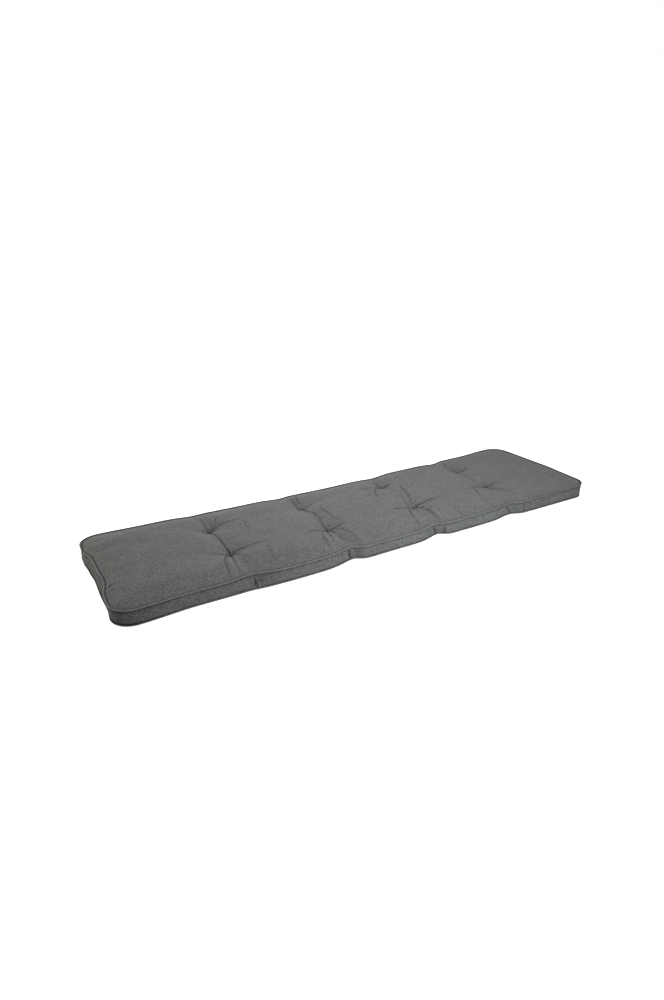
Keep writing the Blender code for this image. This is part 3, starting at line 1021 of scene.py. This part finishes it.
def ring_piece(name, rows):
    """A closed ring, from rows that run round the cushion in the order of its cross-section.

    A row holds its points, their runs across and along the ribs, and their shade.
    """
    points, across, along, shade = [np.concatenate(column) for column in zip(*rows)]
    loops = np.arange(len(points)).reshape(len(rows), -1)
    pairs = zip(loops, np.roll(loops, -1, axis=0))
    faces = np.concatenate([quads_between(loop, following) for loop, following in pairs])
    return new_piece(name, points, faces, {"across_ribs": across, "along_ribs": along, "shade": shade})


def build_band():
    """The boxing band: ribs upright, both edges tucked into the pipings."""
    random = np.random.default_rng(SEED + 1)
    count = ribs_round() * RIB_STEPS
    foot, out, run, perimeter = outline_steps(count)
    rib = np.abs(np.cos(math.pi * run / perimeter * ribs_round())) ** RIB_POWER
    sway = SWAY_DEPTH * sum(np.cos(math.tau * turns * run / perimeter + random.uniform(0, math.tau))
                            for turns in SWAY_TURNS)
    # Painted shade on the band: its shaded corners, a line and ticks under the top piping, the foot and the
    # puckers
    corner = near(foot, SHADED_CORNER, SHADED_REACH)
    all_over = np.maximum(CORNER_DARK * corner, RIGHT_DARK * near(foot, RIGHT_CORNER, RIGHT_REACH))
    rows = []
    for share in BAND_SHARES + BAND_BACK_SHARES:
        pucker = puckers(foot, out, share)
        full = ease(min(share, 1.0 - share) / BAND_TURN)
        inset = pucker + mix(BAND_TUCKED, BAND_FULL, full) - RIB_DEPTH * rib + sway * full
        if len(rows) >= len(BAND_SHARES):
            inset = pucker + BAND_TUCKED + BAND_THICKNESS
        height = mix(UNDER_SEAM + BAND_TUCK, TOP_SEAM - BAND_TUCK, share)
        below = 1.0 - share - BAND_HIDDEN
        line = mix(LINE_DARK, 1.0, corner) * (1.0 - LINE_RIBS * rib)
        line = line * (1.0 - ease(below / (LINE_TALL + LINE_TALL_CORNER * corner)))
        ticks = TICK_DARK * (1.0 - rib) * (1.0 - ease(below / TICK_TALL))
        foot_tall = FOOT_TALL + FOOT_TALL_CORNER * corner
        foot_shade = mix(FOOT_DARK, 1.0, corner) * (1.0 - ease((share - FOOT_START) / foot_tall))
        shade = np.max([line, ticks, foot_shade, clamp(pucker / FULL_PUCKER), all_over], axis=0)
        places = beside_seam(foot, out, share, inset)
        rows.append((at_height(places, height), run, np.full(count, height), shade))
    return ring_piece("boxing_band", rows)


def build_piping(name, level, height):
    """A corded piping in the same cloth, its ribs crossing the cord at a slant."""
    count = ribs_round() * PIPING_STEPS
    foot, out, run, perimeter = outline_steps(count)
    rib_run = perimeter / ribs_round()
    to_band = 1.0 if level > 0.5 else -1.0
    # Painted shade on the piping: in the groove towards the panel, towards the band, and at the right end
    inner = seam_darkness(foot)
    right = ease(out[:, 0])
    # Painted light: the top piping on the left end is made paler
    pale = PIPING_PAINTED_LIGHT * level * ease(-out[:, 0])
    band_line = mix(mix(PIPING_UNDER, LINE_DARK, level), 1.0, near(foot, SHADED_CORNER, SHADED_REACH))
    rows = []
    for number in range(PIPING_SIDES):
        angle = math.tau * number / PIPING_SIDES
        to_panel = ease(-math.cos(angle) / SIDE_SOFT - SIDE_START) * inner
        to_side = ease(-math.sin(angle) * to_band / SIDE_SOFT - SIDE_START) * band_line
        far_side = ease(RIGHT_START - math.cos(angle) / RIGHT_SOFT) * right
        shade = np.max([to_panel, to_side, far_side], axis=0)
        shade = shade - pale * (1.0 - shade)
        radius = PIPING_RADIUS + PIPING_RIB * np.cos(math.tau * run / rib_run + PIPING_TWIST * angle)
        places = beside_seam(foot, out, level, -radius * math.cos(angle))
        across = run + PIPING_TWIST * number / PIPING_SIDES * rib_run
        along = np.full(count, angle * PIPING_RADIUS)
        rows.append((at_height(places, height + radius * math.sin(angle)), across, along, shade))
    return ring_piece(name, rows)


def build_thread():
    """A tuft's thread: strands side by side that come up out of the cloth and go down again."""
    points = []
    faces = []
    tall = THREAD_RISE + THREAD_SINK
    for offset in THREAD_STRANDS:
        first = len(points)
        for step in range(THREAD_STEPS + 1):
            share = step / THREAD_STEPS * 2 - 1
            height = THREAD_RISE - tall * abs(share) ** THREAD_ARCH
            middle = Vector((share * THREAD_SPAN / 2, offset * (1 - THREAD_CLOSING * share ** 2), height))
            fall = math.copysign(THREAD_ARCH * tall * abs(share) ** (THREAD_ARCH - 1), share)
            slope = math.atan2(-fall, THREAD_SPAN / 2)
            for side in range(THREAD_SIDES):
                angle = math.tau * side / THREAD_SIDES + step * THREAD_TURN
                radius = THREAD_RADIUS * (1 + LOBE_DEPTH * math.cos(LOBES * (angle - step * LOBE_TURN)))
                up = radius * math.sin(angle)
                ring = (-math.sin(slope) * up, radius * math.cos(angle), math.cos(slope) * up)
                points.append(middle + Vector(ring))
        for step in range(THREAD_STEPS):
            for side in range(THREAD_SIDES):
                here = first + step * THREAD_SIDES + side
                beside = first + step * THREAD_SIDES + (side + 1) % THREAD_SIDES
                faces.append((here, beside, beside + THREAD_SIDES, here + THREAD_SIDES))
        last = first + THREAD_STEPS * THREAD_SIDES
        faces.append(tuple(first + side for side in reversed(range(THREAD_SIDES))))
        faces.append(tuple(last + side for side in range(THREAD_SIDES)))
    data = bpy.data.meshes.new("tuft_thread")
    data.from_pydata(points, [], faces)
    data.shade_smooth()
    return data


def add_threads(material):
    """One thread at each tuft on top, and its twin underneath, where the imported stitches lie."""
    shared = build_thread()
    shared.materials.append(material)
    for node in sorted(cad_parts):
        if not node.startswith("tuft_stitch_"):
            continue
        low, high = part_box(node)
        place = (low + high) / 2
        on_top = "_top_" in node
        thread = add_object(node.replace("tuft_stitch", "tuft_thread"), shared)
        turn = Matrix.Rotation(0.0 if on_top else math.pi, 4, "X")
        drop = -(high.z - low.z) / 2
        thread.matrix_world = Matrix.Translation(place + Vector((0, 0, drop if on_top else -drop))) @ turn
        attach(thread, "root")
        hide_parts(node)


def set_inputs(tree, node, inputs):
    """Give a node its inputs, by name or number. Another node's output is linked, the rest is set."""
    for key, value in inputs.items():
        if isinstance(value, bpy.types.NodeSocket):
            tree.links.new(value, node.inputs[key])
        else:
            node.inputs[key].default_value = value


def add_node(tree, kind, inputs=None, **settings):
    """A shader node with its settings and its inputs."""
    node = tree.nodes.new(kind)
    for key, value in settings.items():
        setattr(node, key, value)
    set_inputs(tree, node, inputs or {})
    return node


def maths(tree, operation, *values):
    """What a Math node makes of numbers or other nodes' outputs."""
    return add_node(tree, "ShaderNodeMath", dict(enumerate(values)), operation=operation).outputs[0]


def blend_colours(tree, share, first, second, mode="MIX"):
    """What a Mix node makes of two colours, its inputs 6 and 7."""
    inputs = {"Factor": share, 6: first, 7: second}
    return add_node(tree, "ShaderNodeMix", inputs, data_type="RGBA", blend_type=mode).outputs[2]


def bumped(tree, height, strength, distance):
    inputs = {"Height": height, "Strength": strength, "Distance": distance}
    return add_node(tree, "ShaderNodeBump", inputs).outputs["Normal"]


def attribute(tree, name):
    return add_node(tree, "ShaderNodeAttribute", attribute_name=name).outputs["Fac"]


def when_seen(tree, seen, unseen):
    """One value for what the camera sees, and another for the light that things get."""
    camera_ray = add_node(tree, "ShaderNodeLightPath").outputs["Is Camera Ray"]
    return maths(tree, "MULTIPLY_ADD", camera_ray, seen - unseen, unseen)


def wave(tree, run):
    """1 at each whole step of the run, and 0 halfway between."""
    turned = maths(tree, "COSINE", maths(tree, "MULTIPLY", run, math.tau))
    return maths(tree, "MULTIPLY_ADD", turned, 0.5, 0.5)


def new_group(name, inputs, outputs):
    """A node group whose inputs, with their values, and outputs are numbers."""
    group = bpy.data.node_groups.new(name, "ShaderNodeTree")
    for key, value in inputs.items():
        made = group.interface.new_socket(name=key, in_out="INPUT", socket_type="NodeSocketFloat")
        made.default_value = value
    for key in outputs:
        group.interface.new_socket(name=key, in_out="OUTPUT", socket_type="NodeSocketFloat")
    return group, add_node(group, "NodeGroupInput").outputs, add_node(group, "NodeGroupOutput")


def new_material(name):
    material = bpy.data.materials.new(name)
    material.use_nodes = True
    return material, material.node_tree, material.node_tree.nodes["Principled BSDF"]


def make_weave_group():
    """Upright ribs of a woven cloth, each made of short picks: height, crest mask and yarn shade."""
    inputs = {"Across": 0.0, "Along": 0.0, "Rib Pitch": RIB_PITCH, "Pick Length": PICK_LENGTH}
    group, given, put_out = new_group("ribbed_weave", inputs, ("Height", "Crest", "Yarn"))
    rib_run = maths(group, "DIVIDE", given["Across"], given["Rib Pitch"])
    rib_number = maths(group, "ROUND", rib_run)
    pick_run = maths(group, "DIVIDE", given["Along"], given["Pick Length"])
    pick_run = maths(group, "MULTIPLY_ADD", rib_number, 0.5, pick_run)
    crest = wave(group, rib_run)
    pick = maths(group, "MULTIPLY_ADD", wave(group, pick_run), PICK_RELIEF, 1.0 - PICK_RELIEF)
    height = maths(group, "MULTIPLY", maths(group, "POWER", crest, CREST_ROUND), pick)
    across = maths(group, "MULTIPLY", rib_number, YARN_ACROSS)
    along = maths(group, "MULTIPLY", pick_run, YARN_ALONG)
    spot = add_node(group, "ShaderNodeCombineXYZ", {"X": across, "Y": along}).outputs["Vector"]
    noise = {"Vector": spot, "Scale": 1.0, "Detail": 1.0}
    yarn = add_node(group, "ShaderNodeTexNoise", noise, noise_dimensions="2D").outputs["Fac"]
    low, high = YARN_RANGE
    shade = add_node(group, "ShaderNodeMapRange", {"Value": yarn, "From Min": low, "From Max": high})
    set_inputs(group, put_out, {"Height": height, "Crest": crest, "Yarn": shade.outputs["Result"]})
    return group


def make_mottle_group():
    """Slow variation of a cloth's colour and fine fuzz, by place on the object."""
    inputs = {"Patch Scale": PATCH_SCALE, "Fuzz Scale": FUZZ_SCALE}
    group, given, put_out = new_group("cloth_mottle", inputs, ("Patch", "Fuzz"))
    place = add_node(group, "ShaderNodeTexCoord").outputs["Object"]
    for name, detail in (("Patch", 3.0), ("Fuzz", 1.0)):
        inputs = {"Vector": place, "Scale": given[f"{name} Scale"], "Detail": detail}
        noise = add_node(group, "ShaderNodeTexNoise", inputs)
        set_inputs(group, put_out, {name: noise.outputs["Fac"]})
    return group


def cloth_material(key, weave, mottle):
    """Ribbed cloth: two yarn shades, painted shade between the ribs and in folds and seams, slowly varying,
    with the weave in its bump.
    """
    dark, light, rib_shade, bump, sheen = CLOTHS[key]
    material, tree, shader = new_material(f"woven_grey_{key}")
    inputs = {"Across": attribute(tree, "across_ribs"), "Along": attribute(tree, "along_ribs"),
              "Rib Pitch": RIB_PITCH, "Pick Length": PICK_LENGTH}
    ribs = add_node(tree, "ShaderNodeGroup", inputs, node_tree=weave).outputs
    patches = add_node(tree, "ShaderNodeGroup", node_tree=mottle).outputs
    patch = maths(tree, "MULTIPLY", maths(tree, "SUBTRACT", patches["Patch"], 0.5), PATCH_DEPTH)
    yarn = maths(tree, "ADD", ribs["Yarn"], patch)
    colour = blend_colours(tree, yarn, (*dark, 1.0), (*light, 1.0))
    # Painted shade in the valleys between the ribs
    rib_painted_shade = maths(tree, "MULTIPLY_ADD", ribs["Height"], rib_shade, 1.0 - rib_shade)
    fuzz = maths(tree, "MULTIPLY_ADD", patches["Fuzz"], FUZZ_DEPTH, 1.0 - FUZZ_DEPTH / 2)
    # Painted shade: darker where the shade attribute marks folds, tufts, seam grooves, puckers and shaded
    # corners
    sunk = maths(tree, "MULTIPLY_ADD", attribute(tree, "shade"), -FULL_SHADE, 1.0)
    level = maths(tree, "MULTIPLY", maths(tree, "MULTIPLY", rib_painted_shade, fuzz), sunk)
    grey = add_node(tree, "ShaderNodeCombineColor", {"Red": level, "Green": level, "Blue": level})
    relief = maths(tree, "MULTIPLY_ADD", patches["Fuzz"], FUZZ_RELIEF, ribs["Height"])
    set_inputs(tree, shader, {
        "Base Color": blend_colours(tree, 1.0, colour, grey.outputs["Color"], "MULTIPLY"),
        "Roughness": maths(tree, "MULTIPLY_ADD", ribs["Crest"], -CREST_SMOOTH, CLOTH_ROUGH),
        "Normal": bumped(tree, relief, bump, BUMP_DEPTH),
        "Sheen Weight": sheen,
        "Sheen Roughness": 0.5,
        "Specular IOR Level": 0.25,
    })
    return material


def thread_material():
    """Dark twisted thread."""
    material, tree, shader = new_material("dark_thread")
    place = add_node(tree, "ShaderNodeTexCoord").outputs["Object"]
    inputs = {"Vector": place, "Scale": TWIST_SCALE, "Distortion": 1.5}
    twist = add_node(tree, "ShaderNodeTexWave", inputs, bands_direction="DIAGONAL").outputs["Fac"]
    set_inputs(tree, shader, {
        "Base Color": blend_colours(tree, twist, (*THREAD_DARK, 1.0), (*THREAD_LIGHT, 1.0)),
        "Normal": bumped(tree, twist, 0.5, TWIST_DEPTH),
        "Roughness": 0.7,
    })
    return material


def place_camera():
    data = bpy.data.cameras.new("photo_view")
    data.sensor_fit = "AUTO"
    data.sensor_width = 36.0
    data.lens = CAMERA_LENS
    camera = add_object("photo_view", data)
    heading = Matrix.Rotation(-math.radians(CAMERA_HEADING), 4, "Z")
    tilt = Matrix.Rotation(math.radians(90.0 - CAMERA_DOWN), 4, "X")
    roll = Matrix.Rotation(math.radians(CAMERA_ROLL), 4, "Z")
    camera.matrix_world = Matrix.Translation(CAMERA_PLACE) @ heading @ tilt @ roll
    bpy.context.scene.camera = camera


def add_light(name, place, aim, size, power, tint):
    data = bpy.data.lights.new(name, "AREA")
    data.shape = "RECTANGLE"
    data.size, data.size_y = size
    data.energy = power
    data.color = tint
    light = add_object(name, data)
    light.location = place
    light.rotation_mode = "QUATERNION"
    light.rotation_quaternion = (Vector(aim) - Vector(place)).to_track_quat("-Z", "Y")
    light.visible_camera = False


def light_studio():
    """A plain white surround that gives little light itself, and the softboxes."""
    world = bpy.data.worlds.new("studio")
    world.use_nodes = True
    tree = world.node_tree
    inputs = {"Color": (1.0, 1.0, 1.0, 1.0), "Strength": when_seen(tree, 1.0, SKY_FILL)}
    set_inputs(tree, tree.nodes["Background"], inputs)
    bpy.context.scene.world = world
    bpy.context.scene.view_settings.view_transform = "Standard"
    for name, *box in SOFTBOXES:
        add_light(f"softbox_{name}", *box)


def add_floor():
    """A plain pale floor that shows white."""
    data = bpy.data.meshes.new("studio_floor")
    corners = [(x * FLOOR_REACH, y * FLOOR_REACH, 0.0) for x, y in ((-1, -1), (1, -1), (1, 1), (-1, 1))]
    data.from_pydata(corners, [], [(0, 1, 2, 3)])
    floor = add_object("studio_floor", data)
    floor.location.z = -FLOOR_GAP
    material, tree, shader = new_material("pale_floor")
    set_inputs(tree, shader, {
        "Base Color": (0.92, 0.92, 0.92, 1.0),
        "Roughness": 0.9,
        "Emission Color": (1.0, 1.0, 1.0, 1.0),
        "Emission Strength": when_seen(tree, FLOOR_GLOW, FLOOR_LIGHT),
    })
    data.materials.append(material)


def main():
    weave = make_weave_group()
    mottle = make_mottle_group()
    cloths = {key: cloth_material(key, weave, mottle) for key in CLOTHS}

    cover = build_cover()
    swell(cover)
    refine_cover(cover)
    settle_heights(cover)
    fold_panels(cover)
    finish_piece(cover, cloths["cover"], "cover", "cushion_body")

    band = build_band()
    finish_piece(band, cloths["band"], "cover")
    for name, level, height in (("piping_top", 1.0, TOP_SEAM), ("piping_under", 0.0, UNDER_SEAM)):
        piping = build_piping(f"corded_{name}", level, height)
        finish_piece(piping, cloths["piping"], "piping", name)
    add_threads(thread_material())

    add_floor()
    light_studio()
    place_camera()


main()
